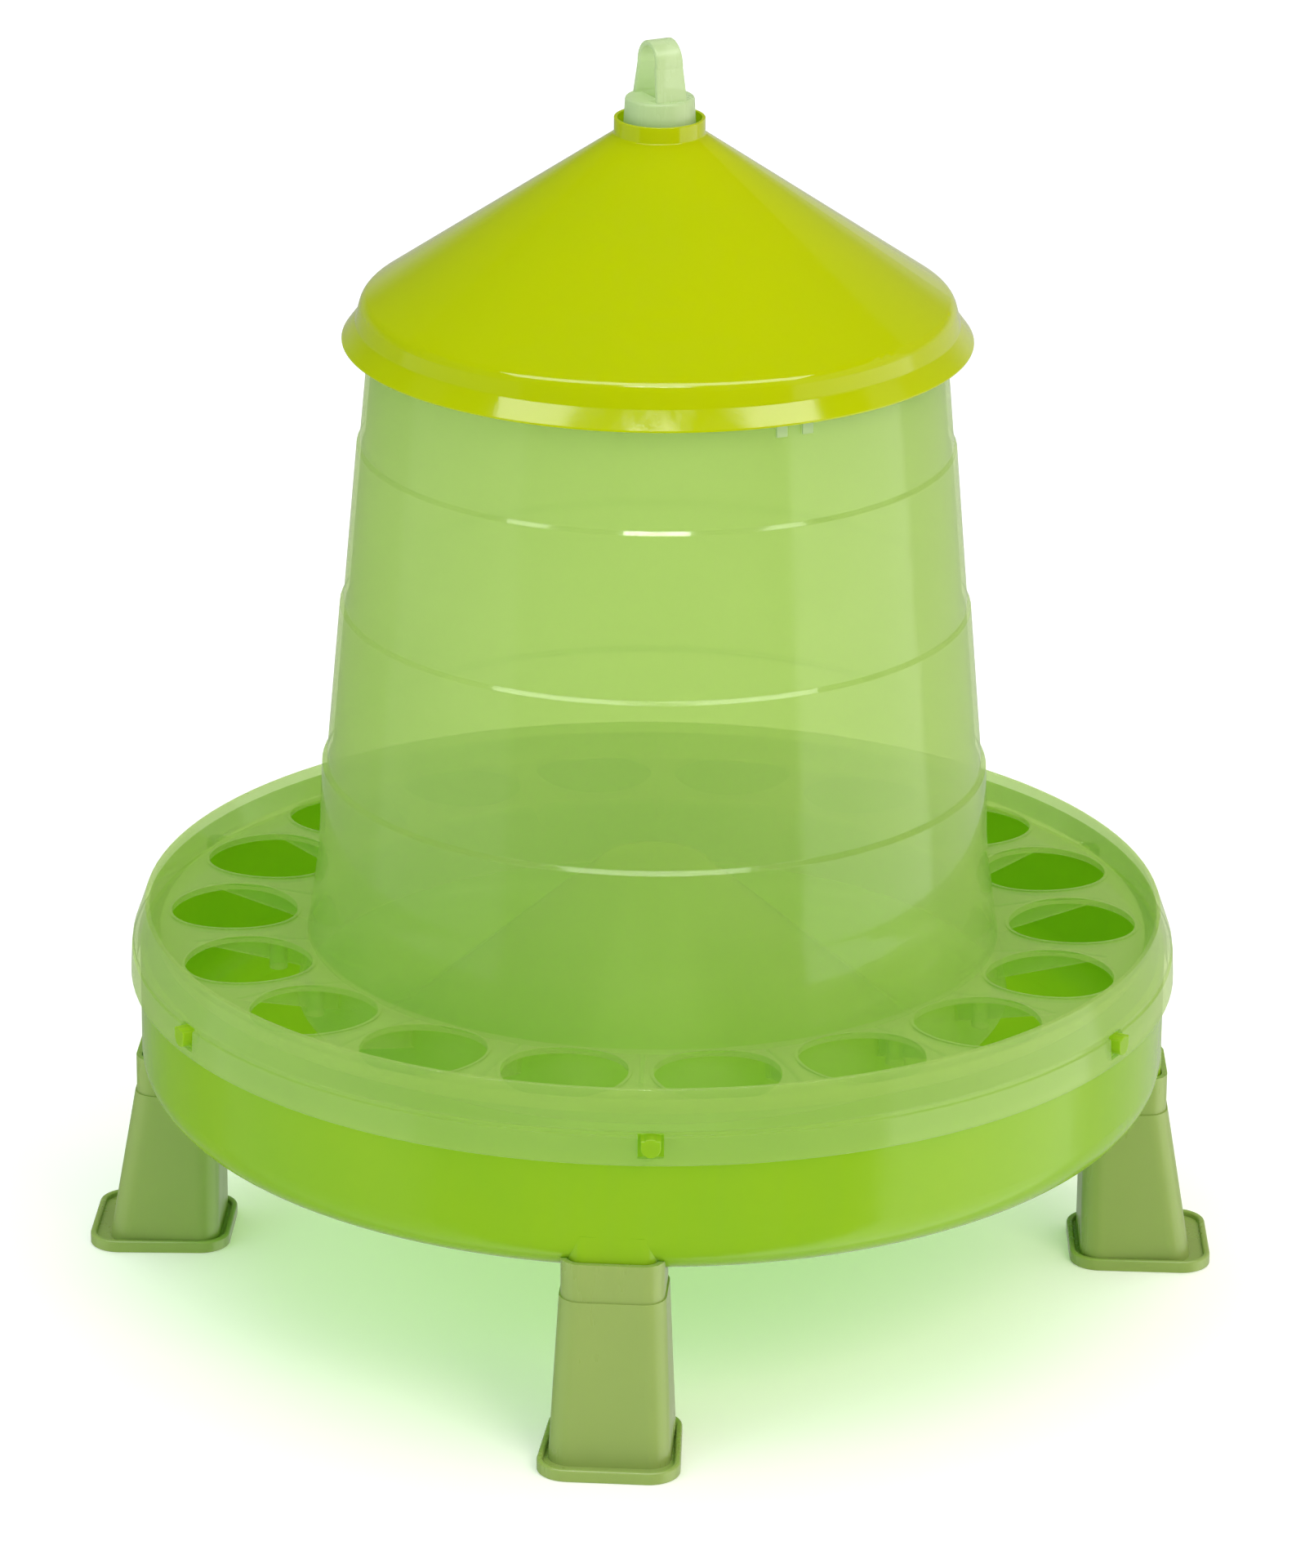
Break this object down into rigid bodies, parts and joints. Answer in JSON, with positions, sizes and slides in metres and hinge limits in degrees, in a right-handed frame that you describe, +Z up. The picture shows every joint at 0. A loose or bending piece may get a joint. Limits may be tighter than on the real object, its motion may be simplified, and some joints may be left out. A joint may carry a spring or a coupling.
{
  "type": "poultry hopper feeder",
  "caption": "Round poultry hopper feeder: clear stepped hopper with a ring of oval feeding ports, dished tray, conical lift-off lid, hanging loop and push-on legs.",
  "frame": {"origin": "on the feeder's vertical axis, at the level of the floor under the feet", "axes": "+Z up along the axis, -Y towards the front, +X to the right seen from the front"},
  "size_m": [0.4135, 0.414, 0.458],
  "materials": {
    "lime_plastic": "glossy moulded polypropylene",
    "clear_green_plastic": "clear tinted moulded polypropylene",
    "lid_plastic": "glossy moulded polypropylene",
    "hanger_plastic": "milky moulded polypropylene",
    "leg_plastic": "satin moulded polypropylene"
  },
  "bodies": {
    "root": {"tray": "lime_plastic", "hopper": "clear_green_plastic", "hanger": "hanger_plastic"},
    "lid": {"lid": "lid_plastic"},
    "leg_front": {"leg_front": "leg_plastic"},
    "leg_right": {"leg_right": "leg_plastic"},
    "leg_back": {"leg_back": "leg_plastic"},
    "leg_left": {"leg_left": "leg_plastic"}
  },
  "joints": [
    {"name": "lid_lift", "type": "slide", "parent": "root", "child": "lid", "axis": [0, 0, 1], "range_m": [0, 0.12]},
    {"name": "leg_front_pull", "type": "slide", "parent": "root", "child": "leg_front", "axis": [0, 0, -1], "range_m": [0, 0.04]},
    {"name": "leg_right_pull", "type": "slide", "parent": "root", "child": "leg_right", "axis": [0, 0, -1], "range_m": [0, 0.04]},
    {"name": "leg_back_pull", "type": "slide", "parent": "root", "child": "leg_back", "axis": [0, 0, -1], "range_m": [0, 0.04]},
    {"name": "leg_left_pull", "type": "slide", "parent": "root", "child": "leg_left", "axis": [0, 0, -1], "range_m": [0, 0.04]}
  ]
}
